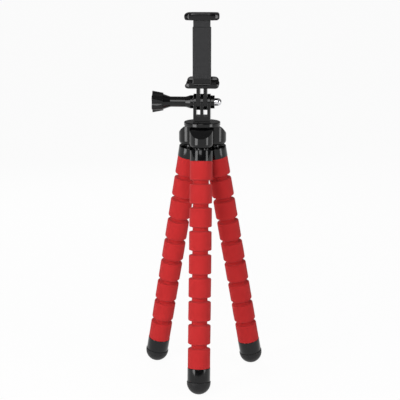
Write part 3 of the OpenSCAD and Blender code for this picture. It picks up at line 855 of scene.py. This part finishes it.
    def collar(self) -> None:
        """The gloss collar at the top of the leg, with its ball."""
        top, end, steps = self.collar_top, self.collar_end, self.ball_steps
        joint = math.sqrt(self.ball_radius ** 2 - top ** 2)
        sweep = math.pi / 2 + math.asin(top / self.ball_radius)
        angles = [i * sweep / steps for i in range(1, steps)]
        ball = [(self.ball_radius * math.sin(a), -self.ball_radius * math.cos(a)) for a in angles]
        corners: list[Corner] = [
            (joint, top, 0),
            (self.collar_radius, top, self.collar_edge_radius),
            (self.collar_radius, end, self.rim_radius),
            (self.spigot_radius, end, 0),
            (0, end - self.collar_hollow, 0),
        ]
        mould = Mould().lathe(self.line, [(0.0, -self.ball_radius)] + ball + rounded(corners))
        piece = mould.piece(f"{self.side.value}_top_collar", GLOSS_BLACK)
        fit(piece, self.body(1), "black_gloss", f"{self.side.value}_leg_collar")

    def foot(self) -> None:
        """The foot's collar and the domed rubber foot, flat where it stands."""
        peg, top = self.foam_end - self.peg_length, self.foam_end + self.seam
        end = self.foot_collar_end - self.seam
        shin: list[Corner] = [
            (0, peg, 0),
            (self.peg_radius, peg, self.peg_edge_radius),
            (self.peg_radius, top, 0),
            (self.foot_collar_radius, top, self.shin_edge_radius),
            (self.foot_collar_radius, end, self.rim_radius),
            (0, end, 0),
        ]
        collar = Mould().lathe(self.line, rounded(shin)).piece(f"{self.side.value}_shin_collar", GLOSS_BLACK)
        brim, steps = self.foot_collar_end, self.dome_steps
        rim: list[Corner] = [(0, brim, 0), (self.foot_radius, brim, self.peg_edge_radius)]
        dome = [
            (self.foot_radius * math.cos(a), self.dome + self.foot_radius * math.sin(a), 0.0)
            for a in (math.pi / 2 * i / steps for i in range(steps))
        ]
        outline = rounded(rim + dome, self.brim_steps) + [(0.0, self.dome + self.foot_radius)]
        sole = Mould().lathe(self.line, outline).shift(lambda p: Vector((p.x, p.y, max(p.z, 0.0))))
        foot = sole.piece(f"{self.side.value}_rubber_foot", FOOT_RUBBER)
        last = self.body(self.barrels)
        fit(collar, last, "black_gloss", f"{self.side.value}_foot_collar")
        fit(foot, last, "rubber", f"{self.side.value}_foot_pad")

    def wire(self) -> None:
        """The bendable wire, in lengths that meet in the middle of each barrel."""
        name = f"{self.side.value}_leg_armature"
        middles = [(a + b) / 2 for a, b in zip(self.grooves, self.grooves[1:])]
        cuts = [(self.collar_end + self.grooves[0]) / 2] + middles + [self.foam_end + self.peg_length / 2]
        top = self.root + UP * (self.wire_top * MM)
        steps, top_steps, reach = self.wire_steps, self.wire_top_steps, self.groove_width / 2
        for i, (start, end) in enumerate(zip([0.0] + cuts, cuts)):
            path = [self.at(start + (end - start) * k / steps) for k in range(steps + 1)]
            joint = self.grooves[i - 1] if i else 0.0
            if i == 0:
                path = [top.lerp(self.root, k / top_steps) for k in range(top_steps)] + path
            piece = Mould().tube(path, self.wire_radius).piece(f"{self.side.value}_wire_{i}", ALUMINIUM)
            first = self.at(joint - reach) if i else self.root + UP * (reach * MM)
            self.body(i + 1)
            self.at(joint + reach)
            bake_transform(piece)
            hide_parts(name)
            LOG.info("%s bends inside the foam", piece.name)

    def build(self) -> None:
        """Builds and dresses the whole leg."""
        self.collar()
        for link in range(1, self.barrels + 1):
            self.barrel(link)
        for groove in range(1, self.barrels):
            self.neck(groove)
        self.foot()
        self.wire()


@dataclass
class Hub:
    """The lobed hub with the camera stud; its creases are angles from which edges look sharp, in degrees."""

    cap_crease: float = 15.0
    base_crease: float = 26.0

    def build(self) -> None:
        """Dresses the two halves of the hub and what is inside."""
        cap = Mould().casting("hub_shell").piece("hub_cap", GLOSS_BLACK, self.cap_crease)
        fit(cap, "hub", "black_gloss", "hub_shell")
        base = Mould().casting("hub_base").piece("hub_underside", GLOSS_BLACK, self.base_crease)
        fit(base, "hub", "black_gloss", "hub_base")
        coat(STEEL, "hub_screw", "camera_stud", "armature_ferrules")
        coat(PAD_RUBBER, "friction_pad")


@dataclass
class HeadAdapter:
    """The disc and prongs on the camera stud, with the dome nut; sizes in millimetres."""

    ease: float = 0.4
    nut_ease: float = 0.3

    def build(self) -> None:
        """Eases the adapter and the nut, and dresses the insert."""
        adapter = Mould().casting("mount_adapter", self.ease).piece("pronged_adapter", GLOSS_BLACK)
        fit(adapter, "head_adapter", "black_gloss", "mount_adapter")
        nut = Mould().casting("dome_nut", self.nut_ease).piece("acorn_nut", POLISHED_STEEL)
        fit(nut, "head_adapter", "polished_steel", "dome_nut")
        coat(BRASS, "thread_insert")


@dataclass
class Thumbscrew:
    """The moulded knob on its steel bolt; its ease is in millimetres, its least sharp angle in degrees."""

    ease: float = 0.55
    sharp: float = 12.0

    def build(self) -> None:
        """Eases the knob and dresses the bolt."""
        knob = Mould().casting("thumbscrew_knob", self.ease, self.sharp).piece("scalloped_knob", GLOSS_BLACK)
        fit(knob, "thumbscrew", "black_gloss", "thumbscrew_knob")
        coat(STEEL, "thumbscrew_bolt")


@dataclass
class Jaw:
    """One hooked jaw; heights count from its outer face towards the phone, in millimetres.

    Its origin is in metres, and up is 1 for a jaw that opens upwards and -1 for one that opens downwards.
    """

    origin: Vector
    up: float
    rim_height: float
    rim_thickness: float
    lip_height: float

    # Plan, floor and lip
    front: float = 9.2
    back: float = 14.4
    width: float = 30.8
    tip_width: float = 29.4
    floor_thickness: float = 3.0
    lip_thickness: float = 2.2
    scoop_radius: float = 4.4

    # Roundings
    corner_radius: float = 3.5
    corner_width: float = 9.0
    heel_radius: float = 2.6
    edge_radius: float = 0.8
    slope: float = 0.5
    foot_radius: float = 0.4

    # Rows of the skin
    wide_rim: float = 5.0
    wide_rim_row: float = 3.6
    row_gap: float = 0.01
    least_height: float = 0.6
    cheek_share: float = 0.42
    cheek_height: float = 1.5
    floor_edge_radius: float = 0.5
    side_share: float = 0.9
    crest_steps: int = 8
    section_steps: int = 6

    def _crest(self) -> list[tuple[float, float]]:
        """The upper outline, with the rim, the floor and the lip.

        Returns:
            Pairs of distance from the tilt axis and height, from front to back.
        """
        rim = -self.front + self.rim_thickness
        wall = self.back - self.lip_thickness
        corners: list[Corner] = [
            (-self.front, self.rim_height / 2, 0),
            (-self.front, self.rim_height, self.edge_radius),
            (rim, self.rim_height, min(self.foot_radius, (self.rim_height - self.floor_thickness) / 2)),
            (rim + self.slope, self.floor_thickness, self.foot_radius),
            (wall - self.slope, self.floor_thickness, self.scoop_radius),
            (wall, self.lip_height, self.edge_radius),
            (self.back, self.lip_height, self.edge_radius),
            (self.back, self.lip_height / 2, 0),
        ]
        crest = rounded(corners, self.crest_steps)
        if self.rim_thickness > self.wide_rim:
            crest.append((-self.front + self.wide_rim_row, self.rim_height))
        return sorted(crest)

    def _half_width(self, y: float) -> float:
        """Half the jaw's width, which tapers and has rounded corners.

        Args:
            y: Distance from the tilt axis, backwards.

        Returns:
            Half the width there.
        """
        share = (y + self.front) / (self.front + self.back)
        half = (self.width + (self.tip_width - self.width) * share) / 2
        for reach in (y + self.front, self.back - y):
            if reach < self.corner_radius:
                inset = 1 - reach / self.corner_radius
                half -= self.corner_width * (1 - math.sqrt(max(0.0, 1 - inset ** 2)))
        return half

    def mould(self) -> Mould:
        """Builds the jaw's skin in rows of cross-sections, from front to back.

        Returns:
            The mould.
        """
        rows = []
        crest = self._crest()
        crest = [crest[0]] + [b for a, b in zip(crest, crest[1:]) if b[0] - a[0] > self.row_gap]
        for y, height in crest:
            reach = min(y + self.front, self.back - y)
            heel = self.edge_radius
            low = heel - math.sqrt(max(0.0, heel ** 2 - max(0.0, heel - reach) ** 2))
            high = max(height, low + self.least_height)
            half = self._half_width(y)
            tall = high - low
            has_cheek = high > self.floor_thickness + self.cheek_height
            top = min(self.heel_radius, self.cheek_share * tall) if has_cheek else self.floor_edge_radius
            foot = min(self.heel_radius, self.side_share * tall - top)
            corners = [(-half, low, foot), (half, low, foot), (half, high, top), (-half, high, top)]
            loop = rounded(corners, self.section_steps, closed=True)
            rows.append([self.origin + Vector((x, y, self.up * z)) * MM for x, z in loop])
        return Mould().loft(rows)


@dataclass
class PhoneClamp:
    """The tilting clamp with its sprung upper jaw; sizes in millimetres."""

    ease: float = 0.3
    cover_ease: float = 0.2

    # Tongues and jaws
    tongue_height: float = 12.7
    rim_height: float = 4.2
    lip_height: float = 8.4
    upper_jaw_height: float = 6.2
    upper_rim_thickness: float = 8.1
    setback: float = 1.6

    # Column and stem
    column_width: float = 16.0
    column_front: float = -7.6
    column_back: float = -1.1
    column_step: float = 8.6
    column_sink: float = 2.0
    skin: float = 0.02
    stem_sink: float = 1.0

    # Pads
    rib_pitch: float = 2.4
    rib_depth: float = 0.35
    rib_steps: int = 8
    least_ribs: int = 3
    pad_end_length: float = 0.6
    pad_end_drop: float = 0.5
    pad_edge_radius: float = 0.3
    pad_edge_steps: int = 4

    # Spring
    curls: int = 12
    curl_steps: int = 18
    spring_radius: float = 1.3
    spring_wire_radius: float = 0.25
    spring_sides: int = 8
    spring_tail: float = 0.4
    spring_end: float = 0.05

    def ribbed_pad(self, name: str, node: str, body: str, face: Vector, ribs: Vector) -> None:
        """A rubber pad with grip ribs, in the space of its CAD solid.

        Args:
            name: The piece's name.
            node: The CAD node it stands for.
            body: The CAD body it moves with.
            face: Which way its ribbed face looks.
            ribs: Which way the ribs follow each other.
        """
        low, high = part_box(node)
        middle, size = (low + high) / 2, high - low
        across = face.cross(ribs)
        length, width, depth = (abs(size.dot(v)) / MM for v in (ribs, across, face))
        count = max(self.least_ribs, round(length / self.rib_pitch))
        steps, half, edge = count * self.rib_steps, width / 2, self.pad_edge_radius
        rows = []
        for i in range(steps + 1):
            share = i / steps
            crest = depth - self.rib_depth * (0.5 + 0.5 * math.cos(TURN * share * count))
            crest -= self.pad_end_drop * max(0.0, 1 - min(share, 1 - share) * length / self.pad_end_length)
            start = middle + ribs * ((share - 0.5) * length * MM) - face * (depth / 2 * MM)
            corners = [(-half, 0, 0), (half, 0, 0), (half, crest, edge), (-half, crest, edge)]
            loop = rounded(corners, self.pad_edge_steps, closed=True)
            rows.append([start + across * (x * MM) + face * (y * MM) for x, y in loop])
        piece = Mould().loft(rows).piece(name, PAD_RUBBER, PAD_CREASE)
        fit(piece, body, "rubber", node)

    def spring(self) -> None:
        """The coil spring that draws the upper jaw down."""
        low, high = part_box("jaw_spring")
        y = (low.y + high.y) / 2
        foot = Vector((0, y, low.z))
        coil = Place(foot, UP, RIGHT)
        steps, length = self.curls * self.curl_steps, (high.z - low.z) / MM
        rise = length - 2 * self.spring_tail
        path = [coil.point(self.spring_radius, self.spring_end, 0)]
        for i in range(steps + 1):
            share = i / steps
            along = self.spring_tail + rise * share
            path.append(coil.point(self.spring_radius, along, TURN * self.curls * share))
        path.append(coil.point(self.spring_radius, length - self.spring_end, 0))
        wire = Mould().tube(path, self.spring_wire_radius, self.spring_sides)
        piece = wire.piece("closing_spring", STEEL, BEND_CREASE)
        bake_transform(piece)
        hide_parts("jaw_spring")
        LOG.info("%s stretches between the jaws", piece.name)

    def lower_half(self, axis: Vector) -> None:
        """The tongues, the column and the lower jaw, parted where their finish changes.

        Args:
            axis: The middle of the tilt axis, in metres.
        """
        seat = axis + UP * (self.tongue_height * MM)
        tongues = Mould().casting("clamp_body", self.ease, cuts=[(seat, UP)], roomy=True)
        fit(tongues.piece("clamp_tongues", JAW_BLACK), "phone_clamp", "black_satin", "clamp_body")
        front, back = (axis + BACK * (y * MM) for y in (self.column_front, self.column_back))
        side, skin = RIGHT * ((self.column_width / 2 + self.skin) * MM), BACK * (self.skin * MM)
        cuts = [(axis + side, RIGHT), (axis - side, -RIGHT), (front - skin, -BACK), (back + skin, BACK)]
        foot, step = (seat + UP * (height * MM) for height in (self.column_sink, self.column_step))
        column = Mould().casting("clamp_body", self.ease, cuts=cuts + [(step, -UP)], roomy=True)
        fit(column.piece("clamp_column", SATIN_BLACK), "phone_clamp", "black_satin", "clamp_body")
        root = Mould().casting("clamp_body", self.ease, cuts=cuts + [(foot, -UP), (step, UP)], roomy=True)
        fit(root.piece("column_root", JAW_BLACK), "phone_clamp", "black_satin", "clamp_body")
        jaw = Jaw(
            seat, up=1.0, rim_height=self.rim_height, rim_thickness=self.setback, lip_height=self.lip_height
        )
        fit(jaw.mould().piece("lower_jaw", JAW_BLACK), "phone_clamp", "black_satin", "clamp_body")

    def upper_half(self, axis: Vector) -> None:
        """The upper jaw and its stem, which slide together.

        Args:
            axis: The middle of the tilt axis, in metres.
        """
        height = self.upper_jaw_height
        crown = Vector((axis.x, axis.y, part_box("upper_jaw")[1].z))
        jaw = Jaw(
            crown, up=-1.0, rim_height=height, rim_thickness=self.upper_rim_thickness, lip_height=height
        )
        fit(jaw.mould().piece("sprung_jaw", JAW_BLACK), "sliding_jaw", "black_satin", "upper_jaw")
        neck = crown - UP * ((height - self.stem_sink) * MM)
        stem = Mould().casting("upper_jaw", self.ease, cuts=[(neck, UP)], roomy=True)
        fit(stem.piece("jaw_slider", SATIN_BLACK), "sliding_jaw", "black_satin", "upper_jaw")

    def build(self) -> None:
        """Builds both halves, the column's cover, the pads and the spring."""
        axis = Vector(JOINTS["clamp_tilt"]["pos_m"])
        self.lower_half(axis)
        self.upper_half(axis)
        cover = Mould().casting("column_cover", self.cover_ease).piece("column_back", SATIN_BLACK)
        fit(cover, "phone_clamp", "black_satin", "column_cover")
        self.ribbed_pad("phone_rest_strip", "rest_pad", "phone_clamp", BACK, UP)
        self.ribbed_pad("lower_grip_pad", "lower_jaw_pad", "phone_clamp", UP, RIGHT)
        self.ribbed_pad("upper_grip_pad", "upper_jaw_pad", "sliding_jaw", -UP, RIGHT)
        self.spring()
        coat(STEEL, "cover_screws", "lower_spring_pin", "upper_spring_pin")


@dataclass(frozen=True)
class Softbox:
    """One soft studio lamp, in metres; one that doesn't shine shows in no gloss surface."""

    name: str
    place: tuple[float, float, float]
    target: tuple[float, float, float]
    width: float
    height: float
    watts: float
    shines: bool = True

    def hang(self) -> None:
        """Adds the lamp to the scene."""
        data = bpy.data.lights.new(self.name, "AREA")
        data.shape = "RECTANGLE"
        data.size, data.size_y = self.width, self.height
        data.energy = self.watts
        lamp = bpy.data.objects.new(self.name, data)
        lamp.location = self.place
        lamp.visible_camera = False
        lamp.visible_glossy = self.shines
        lamp.rotation_mode = "QUATERNION"
        lamp.rotation_quaternion = (Vector(self.target) - Vector(self.place)).to_track_quat("-Z", "Y")
        bpy.context.scene.collection.objects.link(lamp)


@dataclass
class Studio:
    """The pale floor, the lamps and the camera; in metres and degrees, unless a name says otherwise."""

    camera_reach: float = 0.9
    camera_height: float = 0.3735
    camera_turn: float = 3.4
    camera_dip: float = 13.05
    focal_pixels: float = 1020.5
    frame_pixels: float = 400.0
    sensor_mm: float = 36.0
    axis_pixel: float = 202.2
    floor_size: float = 800.0
    floor_drop: float = 0.0002
    glow_share: float = 0.95
    horizon: float = 0.08
    zenith: float = 0.3
    sight: tuple[float, float] = (0.05, 1000.0)

    def camera(self) -> None:
        """Sets the camera at the photograph's angle."""
        axis = Vector(JOINTS["head_pan"]["pos_m"])
        turn, dip = math.radians(self.camera_turn), math.radians(self.camera_dip)
        data = bpy.data.cameras.new("photo_camera")
        data.sensor_width = self.sensor_mm
        data.lens = self.focal_pixels * data.sensor_width / self.frame_pixels
        data.shift_x = (self.frame_pixels / 2 - self.axis_pixel) / self.frame_pixels
        data.clip_start, data.clip_end = self.sight
        camera = bpy.data.objects.new("photo_camera", data)
        back = Vector((math.sin(turn), -math.cos(turn), 0))
        camera.location = Vector((axis.x, axis.y, self.camera_height)) + back * self.camera_reach
        look = -back * math.cos(dip) - UP * math.sin(dip)
        camera.rotation_mode = "QUATERNION"
        camera.rotation_quaternion = look.to_track_quat("-Z", "Y")
        bpy.context.scene.collection.objects.link(camera)
        bpy.context.scene.camera = camera

    @staticmethod
    def _seen(paint: Paint) -> Signal:
        """Tells rays that show the background itself from rays that light the object.

        Args:
            paint: The floor's nodes.

        Returns:
            1 for rays that show the background, and 0 for the others.
        """
        def ray(kind: str) -> Signal:
            """One output of the Light Path node."""
            return paint.node("ShaderNodeLightPath", output=kind)

        shown = ray("Is Camera Ray") + ray("Is Glossy Ray") + ray("Is Transmission Ray")
        return paint.node("ShaderNodeClamp", {}, {"Value": shown})

    def floor(self) -> None:
        """Lays the pale floor, which keeps the object's shadow."""
        half = self.floor_size / 2
        data = bpy.data.meshes.new("studio_floor")
        corners = [(-half, -half, 0), (half, -half, 0), (half, half, 0), (-half, half, 0)]
        data.from_pydata(corners, [], [(0, 1, 2, 3)])
        floor = bpy.data.objects.new("studio_floor", data)
        floor.location.z = -self.floor_drop
        bpy.context.scene.collection.objects.link(floor)
        made = bpy.data.materials.new("pale_floor")
        made.use_nodes = True
        paint = Paint(made.node_tree)
        nodes = made.node_tree.nodes
        shader, out = nodes["Principled BSDF"], nodes["Material Output"]
        pale = {"Base Color": srgb(244, 244, 244), "Roughness": 0.9, "Specular IOR Level": 0.1}
        for socket, value in pale.items():
            paint.feed(shader.inputs[socket], value)
        glow = paint.node("ShaderNodeEmission", {}, {"Color": (1, 1, 1, 1), "Strength": 1.0})
        lit, share = Signal(paint, shader.outputs[0]), self._seen(paint) * self.glow_share
        paint.feed(out.inputs["Surface"], paint.node("ShaderNodeMixShader", {}, {0: share, 1: lit, 2: glow}))
        data.materials.append(made)

    def world(self) -> None:
        """Fills the room with soft white light, brighter from above."""
        world = bpy.data.worlds.new("studio_world")
        bpy.context.scene.world = world
        world.use_nodes = True
        paint = Paint(world.node_tree)
        ground = world.node_tree.nodes["Background"]
        way = paint.node("ShaderNodeTexCoord", output="Generated")
        height = paint.node("ShaderNodeSeparateXYZ", {}, {"Vector": way}, "Z")
        rise = paint.node("ShaderNodeClamp", {}, {"Value": height})
        low, high = ((grey, grey, grey, 1.0) for grey in (self.horizon, self.zenith))
        paint.feed(ground.inputs["Color"], paint.mix(rise, low, high))

    def build(self) -> None:
        """Sets up the whole studio."""
        bpy.context.scene.view_settings.view_transform = "Standard"
        self.camera()
        self.floor()
        self.world()
        hub, head = (0.0, 0.0, 0.25), (0.0, 0.0, 0.3)
        for lamp in (
            Softbox("key_softbox", (-0.12, -0.85, 0.72), hub, width=0.45, height=0.6, watts=3.8),
            Softbox("left_panel", (-0.58, -0.55, 0.335), head, width=0.36, height=0.66, watts=4.6),
            Softbox("right_panel", (0.7, -0.38, 0.335), head, width=0.26, height=0.66, watts=2.6),
            Softbox("back_fill", (-0.3, 0.85, 0.6), head, width=0.7, height=0.5, watts=3.4, shines=False),
        ):
            lamp.hang()


def main() -> None:
    """Builds the tripod and its studio."""
    logging.basicConfig(level=logging.INFO, format="%(message)s")
    Studio().build()
    for side in Side:
        Leg(side).build()
    Hub().build()
    HeadAdapter().build()
    Thumbscrew().build()
    PhoneClamp().build()


if __name__ == "__main__":
    main()
